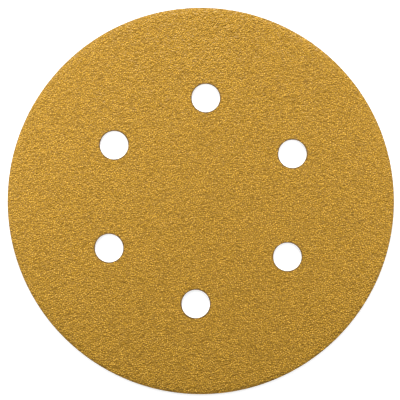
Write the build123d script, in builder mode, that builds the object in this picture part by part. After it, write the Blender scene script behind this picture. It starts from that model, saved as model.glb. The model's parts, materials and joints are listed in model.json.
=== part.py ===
from build123d import *
import os

# A hook and loop sanding disc, lying grain side up.
# The origin is the disc's centre on its loop face, with +Z up through the grain.
# One dust hole lies on +Y.

# Disc and dust holes, in millimetres
disc_diameter = 150.0
hole_circle_diameter = 80.0
hole_diameter = 11.0
hole_count = 6
first_hole_angle = 90.0

# Layers, from the pad side up
loop_fabric_thickness = 0.65
paper_thickness = 0.25
grain_coat_thickness = 0.45

# Cut edges: the die bends the rim down into the soft pile, presses the pile in below,
# and crushes the grain round each punched hole
rim_roll_width = 3.00
rim_roll_drop = 0.28
loop_edge_bevel = 0.10
crushed_grain_width = 0.50
crushed_grain_depth = 0.12

# Levels that follow from the layers
loop_fabric_bottom = 0.0
loop_fabric_top = loop_fabric_bottom + loop_fabric_thickness
paper_top = loop_fabric_top + paper_thickness
grain_coat_top = paper_top + grain_coat_thickness


def rolled_sheet(bottom, top):
    """Makes a round sheet whose upper side rolls down at the rim, and punches its dust holes."""
    rim = disc_diameter / 2
    with BuildSketch(Plane.XZ) as half_section:
        with BuildLine():
            level = Line((0, top), (rim - rim_roll_width, top))
            roll = TangentArc(level @ 1, (rim, top - rim_roll_drop), tangent=level % 1)
            Polyline(roll @ 1, (rim, bottom), (0, bottom), (0, top))
        make_face()
    revolve(half_section.sketch, axis=Axis.Z)
    with PolarLocations(hole_circle_diameter / 2, hole_count, start_angle=first_hole_angle):
        Hole(hole_diameter / 2)


# Loop fabric: the brushed knit that a hook-faced pad grips
with BuildPart() as brushed_loop_fabric:
    rolled_sheet(loop_fabric_bottom, loop_fabric_top)
    pad_side = brushed_loop_fabric.faces().sort_by(Axis.Z)[0]
    chamfer(pad_side.edges(), loop_edge_bevel)
brushed_loop_fabric.part.label = "brushed_loop_fabric"

# Backing paper: glued all over to the fabric, and bent down over it at the rim
with BuildPart() as paper_backing:
    rolled_sheet(loop_fabric_top - rim_roll_drop, paper_top)
    add(brushed_loop_fabric.part, mode=Mode.SUBTRACT)
paper_backing.part.label = "paper_backing"

# Grain coat: mineral grain set in resin, bonded all over to the paper
with BuildPart() as grain_coat:
    rolled_sheet(paper_top - rim_roll_drop, grain_coat_top)
    add([brushed_loop_fabric.part, paper_backing.part], mode=Mode.SUBTRACT)
    working_face = grain_coat.faces().filter_by(GeomType.PLANE).sort_by(Axis.Z)[-1]
    punched_edges = working_face.inner_wires().edges()
    chamfer(punched_edges, crushed_grain_width, crushed_grain_depth, reference=working_face)
grain_coat.part.label = "grain_coat"

os.makedirs("parts", exist_ok=True)
export_step(brushed_loop_fabric.part, "parts/brushed_loop_fabric.step")
export_step(paper_backing.part, "parts/paper_backing.step")
export_step(grain_coat.part, "parts/grain_coat.step")
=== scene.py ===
import json
import math
import bpy
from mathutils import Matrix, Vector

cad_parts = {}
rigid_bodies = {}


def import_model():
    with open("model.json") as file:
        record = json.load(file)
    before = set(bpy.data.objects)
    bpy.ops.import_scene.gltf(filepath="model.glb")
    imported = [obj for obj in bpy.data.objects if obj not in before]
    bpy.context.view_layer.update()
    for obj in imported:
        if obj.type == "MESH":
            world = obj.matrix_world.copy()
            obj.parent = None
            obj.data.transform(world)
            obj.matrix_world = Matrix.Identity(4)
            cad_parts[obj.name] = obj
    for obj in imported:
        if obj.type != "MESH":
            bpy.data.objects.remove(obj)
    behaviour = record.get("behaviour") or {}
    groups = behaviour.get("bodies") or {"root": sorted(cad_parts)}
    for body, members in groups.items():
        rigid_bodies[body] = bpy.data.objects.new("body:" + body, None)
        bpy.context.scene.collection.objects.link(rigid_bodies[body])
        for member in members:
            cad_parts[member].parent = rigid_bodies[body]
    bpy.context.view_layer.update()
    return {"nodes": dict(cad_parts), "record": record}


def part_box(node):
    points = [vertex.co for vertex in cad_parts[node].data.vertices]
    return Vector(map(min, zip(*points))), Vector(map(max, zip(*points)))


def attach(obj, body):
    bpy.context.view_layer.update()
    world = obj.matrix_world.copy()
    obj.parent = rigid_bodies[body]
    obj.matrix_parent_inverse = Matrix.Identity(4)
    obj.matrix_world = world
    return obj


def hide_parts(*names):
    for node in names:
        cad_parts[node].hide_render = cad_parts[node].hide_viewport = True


# A hook and loop sanding disc, lying grain side up: a coat of gold grain on paper,
# with a brushed loop fabric under the paper. All three were die cut together.

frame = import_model()
print("stage: frame loaded")

mm = 0.001
coatLow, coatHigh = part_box("grain_coat")
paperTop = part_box("paper_backing")[1].z
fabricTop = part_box("brushed_loop_fabric")[1].z
punch = next(m["dims"] for m in frame["record"]["mounts"] if m["name"] == "dust_holes")

disc = {
    "radius": coatHigh.x,
    "holeRadius": punch["hole_r_mm"] * mm,
    "holeCircle": punch["pcd_mm"] * mm / 2,
    "holeCount": punch["count"],
    "firstHole": math.radians(90),
    "rimDrop": paperTop - coatLow.z,    # how far the die bends the sheets down at the rim
    "rimRoll": 3.0 * mm,                # and how far in the bend begins
    "rollRings": 4,
    "rimSegments": 360,
    "holeSegments": 60,
    "cutterDepth": 20 * mm,
    "onCut": 0.05 * mm,                 # nearer than this to the die's line counts as cut
    "onLevel": 0.001 * mm,              # nearer than this to a level counts as on it
    "mapMargin": 1.02,                  # the baking map reaches a little past the rim
}


def holeCentres():
    turn = 2 * math.pi / disc["holeCount"]
    angles = [disc["firstHole"] + turn * k for k in range(disc["holeCount"])]
    return [(disc["holeCircle"] * math.cos(a), disc["holeCircle"] * math.sin(a)) for a in angles]


def gapToHole(point):
    return min(math.hypot(point.x - x, point.y - y) for x, y in holeCentres()) - disc["holeRadius"]


def gapToRim(point):
    return disc["radius"] - math.hypot(point.x, point.y)


def gapToCut(point):
    return min(gapToRim(point), gapToHole(point))


# Small helpers for working the meshes

def deselectAll():
    if bpy.context.object and bpy.context.object.mode != "OBJECT":
        bpy.ops.object.mode_set(mode="OBJECT")
    bpy.ops.object.select_all(action="DESELECT")


def pick(piece):
    deselectAll()
    piece.select_set(True)
    bpy.context.view_layer.objects.active = piece


def applyPlace(piece):
    pick(piece)
    bpy.ops.object.transform_apply(location=True, rotation=True, scale=True)


def selectWhere(piece, kind, wanted):
    # ends in edit mode with the faces or vertices selected that wanted() accepts
    pick(piece)
    bpy.ops.object.mode_set(mode="EDIT")
    bpy.ops.mesh.select_mode(type=kind)
    bpy.ops.mesh.select_all(action="DESELECT")
    bpy.ops.object.mode_set(mode="OBJECT")
    for item in piece.data.polygons if kind == "FACE" else piece.data.vertices:
        item.select = wanted(item)
    bpy.ops.object.mode_set(mode="EDIT")


def nameGroup(piece, name, wanted):
    piece.vertex_groups.new(name=name)
    selectWhere(piece, "VERT", wanted)
    bpy.ops.object.vertex_group_assign()
    bpy.ops.object.mode_set(mode="OBJECT")


def cutWith(piece, cutter, operation):
    pick(piece)
    cut = piece.modifiers.new("dieCut", "BOOLEAN")
    cut.operation = operation
    cut.solver = "MANIFOLD"
    cut.object = cutter
    bpy.ops.object.modifier_apply(modifier=cut.name)
    pick(cutter)
    bpy.ops.object.delete()


def addNode(tree, kind, **settings):
    node = tree.nodes.new(kind)
    for name, value in settings.items():
        setattr(node, name, value)
    return node


def live(sockets, name):
    # of the sockets with this name, the one that the node's settings leave in use
    return next(s for s in sockets if s.enabled and s.name == name)


def geometryTree(name):
    tree = bpy.data.node_groups.new(name, "GeometryNodeTree")
    tree.interface.new_socket("Geometry", in_out="INPUT", socket_type="NodeSocketGeometry")
    tree.interface.new_socket("Geometry", in_out="OUTPUT", socket_type="NodeSocketGeometry")
    return tree, addNode(tree, "NodeGroupInput"), addNode(tree, "NodeGroupOutput")


def applyTree(piece, tree):
    pick(piece)
    step = piece.modifiers.new(tree.name, "NODES")
    step.node_group = tree
    bpy.ops.object.modifier_apply(modifier=step.name)


def addPlanMap(piece):
    # a plan view of the disc, for baking
    tree, start, end = geometryTree("planMap")
    place = addNode(tree, "GeometryNodeInputPosition")
    shrink = addNode(tree, "ShaderNodeVectorMath", operation="MULTIPLY_ADD")
    mapWidth = 2 * disc["mapMargin"] * disc["radius"]
    shrink.inputs[1].default_value = (1 / mapWidth, 1 / mapWidth, 1 / mapWidth)
    shrink.inputs[2].default_value = (0.5, 0.5, 0)
    store = addNode(tree, "GeometryNodeStoreNamedAttribute", data_type="FLOAT2", domain="CORNER")
    store.inputs["Name"].default_value = "OFBake"
    tree.links.new(place.outputs["Position"], shrink.inputs[0])
    tree.links.new(shrink.outputs["Vector"], live(store.inputs, "Value"))
    tree.links.new(start.outputs["Geometry"], store.inputs["Geometry"])
    tree.links.new(store.outputs["Geometry"], end.inputs["Geometry"])
    applyTree(piece, tree)


def finishPiece(piece, materials, nodeName=None):
    while piece.data.uv_layers:    # the maps that the primitives brought
        piece.data.uv_layers.remove(piece.data.uv_layers[0])
    addPlanMap(piece)
    piece.data.materials.clear()
    for material in materials:
        piece.data.materials.append(material)
    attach(piece, "root")
    if nodeName:
        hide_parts(nodeName)
    print("stage:", piece.name, len(piece.data.polygons), "faces")


# Sheets: a fine grid on one side and one plain face on the other, cut by the die

def makeBlank(name, fineLevel, plainLevel, grid):
    deselectAll()
    width = 2 * (disc["radius"] + grid["margin"])
    bpy.ops.mesh.primitive_grid_add(x_subdivisions=round(width / grid["across"]),
                                    y_subdivisions=round(width / grid["along"]), size=width,
                                    location=(0, 0, fineLevel))
    blank = bpy.context.object
    blank.name = name
    applyPlace(blank)
    bpy.ops.object.mode_set(mode="EDIT")
    bpy.ops.mesh.select_all(action="SELECT")
    bpy.ops.transform.vertex_random(offset=grid["wander"], uniform=0, normal=0, seed=grid["seed"])
    bpy.ops.transform.resize(value=(1, 1, 0), center_override=(0, 0, fineLevel))
    bpy.ops.transform.vertex_random(offset=grid["relief"], uniform=grid["even"], normal=1,
                                    seed=grid["seed"] + 1)
    bpy.ops.mesh.quads_convert_to_tris(quad_method="SHORTEST_DIAGONAL")
    bpy.ops.mesh.region_to_loop()
    bpy.ops.mesh.extrude_edges_move(TRANSFORM_OT_translate={"value": (0, 0, plainLevel - fineLevel)})
    bpy.ops.transform.resize(value=(1, 1, 0), center_override=(0, 0, plainLevel))
    bpy.ops.mesh.edge_face_add()
    bpy.ops.mesh.select_all(action="SELECT")
    bpy.ops.mesh.normals_make_consistent(inside=False)
    bpy.ops.object.mode_set(mode="OBJECT")
    return blank


def cutRim(sheet):
    deselectAll()
    bpy.ops.mesh.primitive_cylinder_add(vertices=disc["rimSegments"], radius=disc["radius"],
                                        depth=disc["cutterDepth"], location=(0, 0, 0))
    cutWith(sheet, bpy.context.object, "INTERSECT")


def rollRim(sheet, plainLevel, fineSideToo):
    # inset rings let the plain side bend near the rim and stay level elsewhere
    def isPlain(height):
        return abs(height - plainLevel) < disc["onLevel"]

    selectWhere(sheet, "FACE", lambda f: isPlain(f.center.z))
    for ring in range(disc["rollRings"]):
        bpy.ops.mesh.inset(thickness=disc["rimRoll"] / disc["rollRings"], depth=0)
    if not fineSideToo:
        selectWhere(sheet, "FACE", lambda f: not isPlain(f.center.z))
        bpy.ops.mesh.hide(unselected=False)
    selectWhere(sheet, "VERT", lambda v: gapToRim(v.co) < disc["onCut"]
                and (fineSideToo or isPlain(v.co.z)))
    bpy.ops.transform.translate(value=(0, 0, -disc["rimDrop"]), use_proportional_edit=True,
                                proportional_edit_falloff="SHARP", proportional_size=disc["rimRoll"])
    bpy.ops.mesh.reveal(select=False)
    bpy.ops.object.mode_set(mode="OBJECT")


def punchHoles(sheet):
    for x, y in holeCentres():
        deselectAll()
        bpy.ops.mesh.primitive_cylinder_add(vertices=disc["holeSegments"], radius=disc["holeRadius"],
                                            depth=disc["cutterDepth"], location=(x, y, 0))
        cutWith(sheet, bpy.context.object, "DIFFERENCE")


# Scattering: small shapes from a shelf, set on one side of a sheet

def scatterTree(name, shelf, rule, share, side):
    tree, start, end = geometryTree(name)
    link = tree.links.new

    def chance(dataType, low, high, draw):
        # a random value for each point, from a seed of its own for each kind of draw
        node = addNode(tree, "FunctionNodeRandomValue", data_type=dataType)
        live(node.inputs, "Min").default_value = low
        live(node.inputs, "Max").default_value = high
        node.inputs["Seed"].default_value = rule["seed"] * 100 + draw
        return live(node.outputs, "Value")

    # faces that look up, or down where side is -1
    normal = addNode(tree, "GeometryNodeInputNormal")
    parts = addNode(tree, "ShaderNodeSeparateXYZ")
    looks = addNode(tree, "FunctionNodeCompare", data_type="FLOAT",
                    operation="GREATER_THAN" if side > 0 else "LESS_THAN")
    live(looks.inputs, "B").default_value = rule["facing"] * side
    link(normal.outputs["Normal"], parts.inputs["Vector"])
    link(parts.outputs["Z"], live(looks.inputs, "A"))

    clear = addNode(tree, "GeometryNodeInputNamedAttribute", data_type="FLOAT")
    clear.inputs["Name"].default_value = "clearOfCut"
    points = addNode(tree, "GeometryNodeDistributePointsOnFaces", distribute_method="POISSON")
    points.inputs["Distance Min"].default_value = rule["spacing"]
    points.inputs["Density Max"].default_value = rule["tries"] / rule["spacing"] ** 2
    points.inputs["Seed"].default_value = rule["seed"]
    link(start.outputs["Geometry"], points.inputs["Mesh"])
    link(looks.outputs["Result"], points.inputs["Selection"])
    link(clear.outputs["Attribute"], points.inputs["Density Factor"])

    # this piece's share of the points
    mine = addNode(tree, "FunctionNodeCompare", data_type="INT", operation="EQUAL")
    link(chance("INT", 0, rule["pieces"] - 1, 1), live(mine.inputs, "A"))
    live(mine.inputs, "B").default_value = share

    # each shape leans a little and is turned any way about its own axis
    turn = addNode(tree, "FunctionNodeRotateRotation", rotation_space="LOCAL")
    lean = rule["lean"]
    anyWay = chance("FLOAT_VECTOR", (-lean, -lean, 0), (lean, lean, 2 * math.pi), 2)
    link(points.outputs["Rotation"], turn.inputs["Rotation"])
    link(anyWay, turn.inputs["Rotate By"])

    stock = addNode(tree, "GeometryNodeCollectionInfo")
    stock.inputs["Collection"].default_value = shelf
    stock.inputs["Separate Children"].default_value = True
    stock.inputs["Reset Children"].default_value = True
    placed = addNode(tree, "GeometryNodeInstanceOnPoints")
    placed.inputs["Pick Instance"].default_value = True
    link(points.outputs["Points"], placed.inputs["Points"])
    link(mine.outputs["Result"], placed.inputs["Selection"])
    link(stock.outputs["Instances"], placed.inputs["Instance"])
    link(chance("INT", 0, len(shelf.objects) - 1, 3), placed.inputs["Instance Index"])
    link(turn.outputs["Rotation"], placed.inputs["Rotation"])
    link(chance("FLOAT", rule["small"], rule["large"], 4), placed.inputs["Scale"])

    tone = addNode(tree, "GeometryNodeStoreNamedAttribute", data_type="FLOAT", domain="INSTANCE")
    tone.inputs["Name"].default_value = "tone"
    real = addNode(tree, "GeometryNodeRealizeInstances")
    link(placed.outputs["Instances"], tone.inputs["Geometry"])
    link(chance("FLOAT", 0.0, 1.0, 5), live(tone.inputs, "Value"))
    link(tone.outputs["Geometry"], real.inputs["Geometry"])
    link(real.outputs["Geometry"], end.inputs["Geometry"])
    return tree


def scatterOn(sheet, pieceName, shelf, rule, share, side):
    pick(sheet)
    bpy.ops.object.duplicate()
    piece = bpy.context.object
    piece.name = pieceName
    applyTree(piece, scatterTree(pieceName, shelf, rule, share, side))
    return piece


def shelve(name, parts):
    shelf = bpy.data.collections.new(name)
    for part in parts:
        bpy.context.scene.collection.objects.unlink(part)
        shelf.objects.link(part)
    return shelf


def clearShelf(shelf):
    for part in list(shelf.objects):
        bpy.data.objects.remove(part)
    bpy.data.collections.remove(shelf)


# Grain coat: a bed of resin, and the grains that stand in it

grainBed = {
    "level": 1.00 * mm,
    "across": 0.46 * mm,      # the grid's cell
    "along": 0.46 * mm,
    "margin": 1.4 * mm,       # how far the blank reaches past the rim
    "wander": 0.18 * mm,      # how far a grid point strays in the plane
    "relief": 0.08 * mm,      # and up or down, less than its height over the paper
    "even": 0.8,              # 0 lets each point stray by its own amount, 1 moves all as far
    "cutEdge": 0.35 * mm,     # width of the dark band round a dust hole, painted shade like that of the hole's wall
    "steep": 0.3,             # a face whose normal rises less than this is a wall
    "seed": 11,
}

chipKinds = [
    {"sides": 5, "width": 0.76 * mm, "height": 0.22 * mm, "taper": 0.62, "seed": 1},
    {"sides": 4, "width": 0.80 * mm, "height": 0.23 * mm, "taper": 0.45, "seed": 2},
    {"sides": 3, "width": 0.82 * mm, "height": 0.22 * mm, "taper": 0.50, "seed": 3},
    {"sides": 4, "width": 0.82 * mm, "height": 0.21 * mm, "taper": 0.66, "seed": 4},
]

grains = {
    "pieces": 2,
    "spacing": 0.60 * mm,
    "tries": 6,               # candidate points for each grain that finds room
    "sink": 0.06 * mm,        # how deep the foot of a grain stands in the resin
    "uneven": 0.05 * mm,      # how far a grain's corners stray from the plain shape
    "even": 0.4,
    "lean": math.radians(24),
    "small": 0.80,            # a grain's scale lies between this
    "large": 1.00,            # and this
    "facing": 0.5,            # a face carries grains where its normal rises more than this
    "clearOfCut": 0.50 * mm,  # width of the border without grains along every cut
    "seed": 5,
}


def makeChip(kind):
    deselectAll()
    bpy.ops.mesh.primitive_cone_add(vertices=kind["sides"], radius1=kind["width"] / 2,
                                    radius2=kind["taper"] * kind["width"] / 2, depth=kind["height"],
                                    location=(0, 0, kind["height"] / 2 - grains["sink"]))
    chip = bpy.context.object
    chip.name = "chip_" + str(kind["seed"])
    applyPlace(chip)
    bpy.ops.object.mode_set(mode="EDIT")
    bpy.ops.mesh.select_all(action="SELECT")
    bpy.ops.transform.vertex_random(offset=grains["uneven"], uniform=grains["even"], normal=0,
                                    seed=kind["seed"])
    bpy.ops.mesh.quads_convert_to_tris()
    bpy.ops.object.mode_set(mode="OBJECT")
    return chip


def isBareEdge(face):
    # the cut walls, and a band round each dust hole where shade is painted, take the very dark edge
    # material
    isWall = abs(face.normal.z) < grainBed["steep"] and gapToCut(face.center) < disc["onCut"]
    return isWall or gapToHole(face.center) < grainBed["cutEdge"]


def makeGrainCoat(resin, cutEdge, mineral):
    bed = makeBlank("grain_bed", grainBed["level"], paperTop, grainBed)
    cutRim(bed)
    rollRim(bed, paperTop, True)
    punchHoles(bed)
    nameGroup(bed, "clearOfCut", lambda v: gapToCut(v.co) > grains["clearOfCut"])
    shelf = shelve("chips", [makeChip(kind) for kind in chipKinds])
    for share in range(grains["pieces"]):
        piece = scatterOn(bed, "grains_" + str(share + 1), shelf, grains, share, 1)
        finishPiece(piece, [mineral])
    clearShelf(shelf)
    finishPiece(bed, [resin, cutEdge], "grain_coat")
    for face in bed.data.polygons:
        face.material_index = int(isBareEdge(face))


# Loop fabric: a knitted ground with ribs, and the brushed loops that stand on it

loopGround = {
    "level": 0.33 * mm,
    "across": 0.45 * mm,      # half a rib
    "along": 0.90 * mm,
    "margin": 1.5 * mm,
    "wander": 0.03 * mm,
    "relief": 0.02 * mm,
    "even": 0.5,
    "ribDepth": 0.06 * mm,
    "seed": 21,
}

loopKinds = [
    {"span": 0.80 * mm, "height": 0.16 * mm, "seed": 1},
    {"span": 0.62 * mm, "height": 0.15 * mm, "seed": 2},
    {"span": 0.95 * mm, "height": 0.14 * mm, "seed": 3},
]

pile = {
    "pieces": 2,
    "spacing": 1.00 * mm,
    "tries": 6,
    "strand": 0.10 * mm,      # thickness of the thread
    "strandSides": 3,
    "ringSides": 8,           # a loop is half of this ring
    "uneven": 0.03 * mm,
    "lean": math.radians(12),
    "small": 0.85,
    "large": 1.10,
    "facing": 0.5,            # here a face looks down by more than this
    "clearOfCut": 0.55 * mm,
    "seed": 23,
}


def makeLoop(kind):
    # half a ring of thread, standing on its two feet
    deselectAll()
    bpy.ops.mesh.primitive_torus_add(major_segments=pile["ringSides"], minor_segments=pile["strandSides"],
                                     major_radius=kind["span"] / 2, minor_radius=pile["strand"] / 2,
                                     rotation=(math.radians(90), 0, 0))
    loop = bpy.context.object
    loop.name = "loop_" + str(kind["seed"])
    applyPlace(loop)
    bpy.ops.object.mode_set(mode="EDIT")
    bpy.ops.mesh.select_all(action="SELECT")
    bpy.ops.mesh.bisect(plane_co=(0, 0, 0), plane_no=(0, 0, 1), use_fill=True, clear_inner=True)
    bpy.ops.mesh.select_all(action="SELECT")
    bpy.ops.transform.resize(value=(1, 1, 2 * kind["height"] / kind["span"]), center_override=(0, 0, 0))
    bpy.ops.transform.vertex_random(offset=pile["uneven"], uniform=0, normal=0, seed=kind["seed"])
    bpy.ops.mesh.quads_convert_to_tris()
    bpy.ops.object.mode_set(mode="OBJECT")
    return loop


def isRib(vertex):
    # every second row of points on the lower side
    isLower = vertex.co.z < (loopGround["level"] + fabricTop) / 2
    return isLower and round(vertex.co.x / loopGround["across"]) % 2 == 0


def makeLoopFabric(knit, yarn):
    ground = makeBlank("loop_ground", loopGround["level"], fabricTop, loopGround)
    selectWhere(ground, "VERT", isRib)
    bpy.ops.transform.translate(value=(0, 0, -loopGround["ribDepth"]))
    bpy.ops.object.mode_set(mode="OBJECT")
    cutRim(ground)
    rollRim(ground, fabricTop, False)
    punchHoles(ground)
    nameGroup(ground, "clearOfCut", lambda v: gapToCut(v.co) > pile["clearOfCut"])
    shelf = shelve("loops", [makeLoop(kind) for kind in loopKinds])
    for share in range(pile["pieces"]):
        piece = scatterOn(ground, "loop_pile_" + str(share + 1), shelf, pile, share, -1)
        finishPiece(piece, [yarn])
    clearShelf(shelf)
    finishPiece(ground, [knit], "brushed_loop_fabric")


# Materials

def newMaterial(name, roughness, gloss):
    material = bpy.data.materials.new(name)
    material.use_nodes = True
    shader = material.node_tree.nodes["Principled BSDF"]
    shader.inputs["Roughness"].default_value = roughness
    shader.inputs["Specular IOR Level"].default_value = gloss
    return material, material.node_tree, shader


def colourRamp(tree, stops):
    ramp = addNode(tree, "ShaderNodeValToRGB")
    elements = ramp.color_ramp.elements
    for place, colour in stops[len(elements):]:
        elements.new(place)
    for element, (place, colour) in zip(elements, stops):
        element.position = place
        element.color = (*colour, 1)
    return ramp


def grainMaterial():
    material, tree, shader = newMaterial("goldGrain", roughness=0.6, gloss=0.15)
    link = tree.links.new
    tone = addNode(tree, "ShaderNodeAttribute", attribute_name="tone")
    ramp = colourRamp(tree, [
        (0.00, (0.28, 0.148, 0.010)),
        (0.25, (0.49, 0.272, 0.022)),
        (0.75, (0.61, 0.350, 0.038)),
        (1.00, (0.70, 0.412, 0.060)),
    ])
    link(tone.outputs["Fac"], ramp.inputs["Fac"])
    link(ramp.outputs["Color"], shader.inputs["Base Color"])
    return material


def resinMaterial():
    material, tree, shader = newMaterial("goldResin", roughness=0.5, gloss=0.25)
    link = tree.links.new
    gritSize = 0.3 * mm
    place = addNode(tree, "ShaderNodeTexCoord")
    grit = addNode(tree, "ShaderNodeTexNoise")
    grit.inputs["Scale"].default_value = 1 / gritSize
    # darker than the grains: partly the resin's own brown, partly painted shade in the gaps between the
    # grains
    ramp = colourRamp(tree, [(0.3, (0.19, 0.100, 0.010)), (0.7, (0.43, 0.234, 0.020))])
    link(place.outputs["Object"], grit.inputs["Vector"])
    link(grit.outputs["Fac"], ramp.inputs["Fac"])
    link(ramp.outputs["Color"], shader.inputs["Base Color"])
    return material


def fibreMaterial(name, roughness, darker, paler, fibreSize, bumpHeight):
    # short tangled fibres, as a cut edge of paper or of resin shows them
    material, tree, shader = newMaterial(name, roughness, gloss=0.2)
    link = tree.links.new
    place = addNode(tree, "ShaderNodeTexCoord")
    tangle = addNode(tree, "ShaderNodeTexNoise")
    tangle.inputs["Scale"].default_value = 1 / fibreSize
    tangle.inputs["Detail"].default_value = 4
    tangle.inputs["Distortion"].default_value = 1.5
    ramp = colourRamp(tree, [(0.3, darker), (0.7, paler)])
    bump = addNode(tree, "ShaderNodeBump")
    bump.inputs["Distance"].default_value = bumpHeight
    link(place.outputs["Object"], tangle.inputs["Vector"])
    link(tangle.outputs["Fac"], ramp.inputs["Fac"])
    link(ramp.outputs["Color"], shader.inputs["Base Color"])
    link(tangle.outputs["Fac"], bump.inputs["Height"])
    link(bump.outputs["Normal"], shader.inputs["Normal"])
    return material


def yarnMaterial():
    material, tree, shader = newMaterial("brushedYarn", roughness=0.85, gloss=0.2)
    shader.inputs["Sheen Weight"].default_value = 0.25
    tone = addNode(tree, "ShaderNodeAttribute", attribute_name="tone")
    ramp = colourRamp(tree, [(0.0, (0.66, 0.63, 0.56)), (1.0, (0.84, 0.82, 0.77))])
    tree.links.new(tone.outputs["Fac"], ramp.inputs["Fac"])
    tree.links.new(ramp.outputs["Color"], shader.inputs["Base Color"])
    return material


def knitMaterial():
    # stitches in rows across the ribs
    material, tree, shader = newMaterial("knitGround", roughness=0.9, gloss=0.2)
    shader.inputs["Sheen Weight"].default_value = 0.25
    link = tree.links.new
    stitchRow = 0.60 * mm
    place = addNode(tree, "ShaderNodeTexCoord")
    rows = addNode(tree, "ShaderNodeTexWave", wave_type="BANDS", bands_direction="Y",
                   wave_profile="SIN")
    rows.inputs["Scale"].default_value = math.pi / 10 / stitchRow    # a wave is pi / 10 long at scale 1
    rows.inputs["Distortion"].default_value = 1.2
    rows.inputs["Detail Scale"].default_value = 2.0
    ramp = colourRamp(tree, [(0.0, (0.56, 0.53, 0.46)), (0.6, (0.78, 0.76, 0.70))])
    bump = addNode(tree, "ShaderNodeBump")
    bump.inputs["Distance"].default_value = 0.08 * mm
    link(place.outputs["Object"], rows.inputs["Vector"])
    link(rows.outputs["Fac"], ramp.inputs["Fac"])
    link(ramp.outputs["Color"], shader.inputs["Base Color"])
    link(rows.outputs["Fac"], bump.inputs["Height"])
    link(bump.outputs["Normal"], shader.inputs["Normal"])
    return material


# very dark brown for the cut walls, and painted shade on the band round each dust hole
resinEdge = fibreMaterial("darkWallAndShadeRing", roughness=0.7, darker=(0.07, 0.035, 0.008),
                          paler=(0.16, 0.08, 0.015), fibreSize=0.2 * mm, bumpHeight=0.02 * mm)
paperStock = fibreMaterial("backingPaper", roughness=0.85, darker=(0.30, 0.18, 0.08),
                           paler=(0.50, 0.34, 0.18), fibreSize=0.3 * mm, bumpHeight=0.03 * mm)

makeGrainCoat(resinMaterial(), resinEdge, grainMaterial())
frame["nodes"]["paper_backing"].material_slots[0].material = paperStock
makeLoopFabric(knitMaterial(), yarnMaterial())


# Camera, lamps, room and floor

photo = {
    "width": 400,                      # pixels, and as many high
    "pixelsPerMm": 2.581,
    "discCentre": (200.77, 200.95),    # pixels to the right and down
    "turn": math.radians(2.79),        # the hole pattern stands this far clockwise
    "distance": 430 * mm,              # from the lens to the grain
}


def makeCamera():
    # looks straight down, with the disc where the photograph has it
    deselectAll()
    bpy.ops.object.camera_add(rotation=(0, 0, photo["turn"]))
    camera = bpy.context.object
    seen = photo["width"] / photo["pixelsPerMm"] * mm
    camera.data.lens = camera.data.sensor_width * photo["distance"] / seen
    right = (photo["discCentre"][0] - photo["width"] / 2) / photo["pixelsPerMm"] * mm
    down = (photo["discCentre"][1] - photo["width"] / 2) / photo["pixelsPerMm"] * mm
    c, s = math.cos(photo["turn"]), math.sin(photo["turn"])
    camera.location = (-right * c - down * s, -right * s + down * c, coatHigh.z + photo["distance"])
    bpy.context.scene.camera = camera


lampSize = 0.14    # metres, as the lamps' places are
lamps = [
    {"place": (-0.06, 0.600, 0.290), "power": 7.9},      # from beyond the upper edge
    {"place": (-0.179, 0.030, 0.140), "power": 0.28},    # low at the left
    {"place": (0.222, 0.035, 0.143), "power": 0.29},     # low at the right
]


def makeLamps():
    for k, lamp in enumerate(lamps):
        deselectAll()
        bpy.ops.object.light_add(type="AREA", location=lamp["place"])
        light = bpy.context.object
        light.name = "lamp_" + str(k + 1)
        light.data.energy = lamp["power"]
        light.data.size = lampSize
        # turned to face the disc's centre
        x, y, z = lamp["place"]
        light.rotation_euler = (-math.atan2(y, math.hypot(x, z)), math.atan2(x, z), 0)


def pathMask(tree):
    # 1 where the camera, a reflection or a transparent ray looks straight at the surface
    path = addNode(tree, "ShaderNodeLightPath")
    first = addNode(tree, "ShaderNodeMath", operation="MAXIMUM")
    both = addNode(tree, "ShaderNodeMath", operation="MAXIMUM")
    tree.links.new(path.outputs["Is Camera Ray"], first.inputs[0])
    tree.links.new(path.outputs["Is Glossy Ray"], first.inputs[1])
    tree.links.new(first.outputs[0], both.inputs[0])
    tree.links.new(path.outputs["Is Transmission Ray"], both.inputs[1])
    return both.outputs[0]


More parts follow.
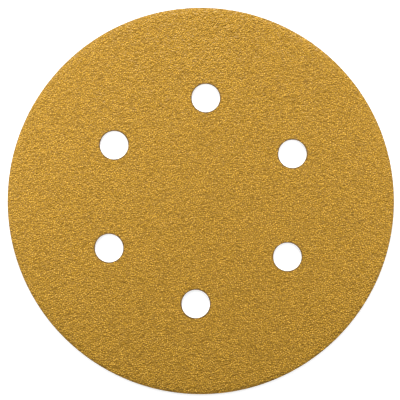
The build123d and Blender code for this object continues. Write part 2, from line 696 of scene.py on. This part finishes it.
room = {
    "fill": 0.12,          # even light from all round
    "floorColour": 0.60,
    "floorGlow": 0.72,     # near the disc, where its shadow falls
    "glowReach": 0.9,      # metres out to where the floor is plain white
    "floorSize": 6.0,
}


def makeWorld():
    # plain white to look at, and much dimmer as a light
    world = bpy.data.worlds.new("paleRoom")
    world.use_nodes = True
    bpy.context.scene.world = world
    tree = world.node_tree
    back = tree.nodes["Background"]
    back.inputs["Color"].default_value = (1, 1, 1, 1)
    strength = addNode(tree, "ShaderNodeMapRange")
    strength.inputs["To Min"].default_value = room["fill"]
    strength.inputs["To Max"].default_value = 1.0
    tree.links.new(pathMask(tree), strength.inputs["Value"])
    tree.links.new(strength.outputs["Result"], back.inputs["Strength"])


def makeFloor():
    deselectAll()
    bpy.ops.mesh.primitive_plane_add(size=room["floorSize"], location=(0, 0, 0))
    floor = bpy.context.object
    floor.name = "floor"
    material, tree, shader = newMaterial("paleFloor", roughness=1.0, gloss=0)
    grey = room["floorColour"]
    shader.inputs["Base Color"].default_value = (grey, grey, grey, 1)
    shader.inputs["Emission Color"].default_value = (1, 1, 1, 1)
    place = addNode(tree, "ShaderNodeTexCoord")
    distance = addNode(tree, "ShaderNodeVectorMath", operation="LENGTH")
    nearGlow = addNode(tree, "ShaderNodeMapRange")
    nearGlow.inputs["From Min"].default_value = disc["radius"]
    nearGlow.inputs["From Max"].default_value = room["glowReach"]
    nearGlow.inputs["To Min"].default_value = room["floorGlow"]
    nearGlow.inputs["To Max"].default_value = 1.0
    glow = addNode(tree, "ShaderNodeMath", operation="MULTIPLY")
    tree.links.new(place.outputs["Object"], distance.inputs[0])
    tree.links.new(distance.outputs["Value"], nearGlow.inputs["Value"])
    tree.links.new(nearGlow.outputs["Result"], glow.inputs[0])
    tree.links.new(pathMask(tree), glow.inputs[1])
    tree.links.new(glow.outputs[0], shader.inputs["Emission Strength"])
    floor.data.materials.append(material)


makeCamera()
makeLamps()
makeWorld()
makeFloor()
bpy.context.scene.view_settings.view_transform = "Standard"
print("stage: camera, lamps, room and floor")

print("stage: done")
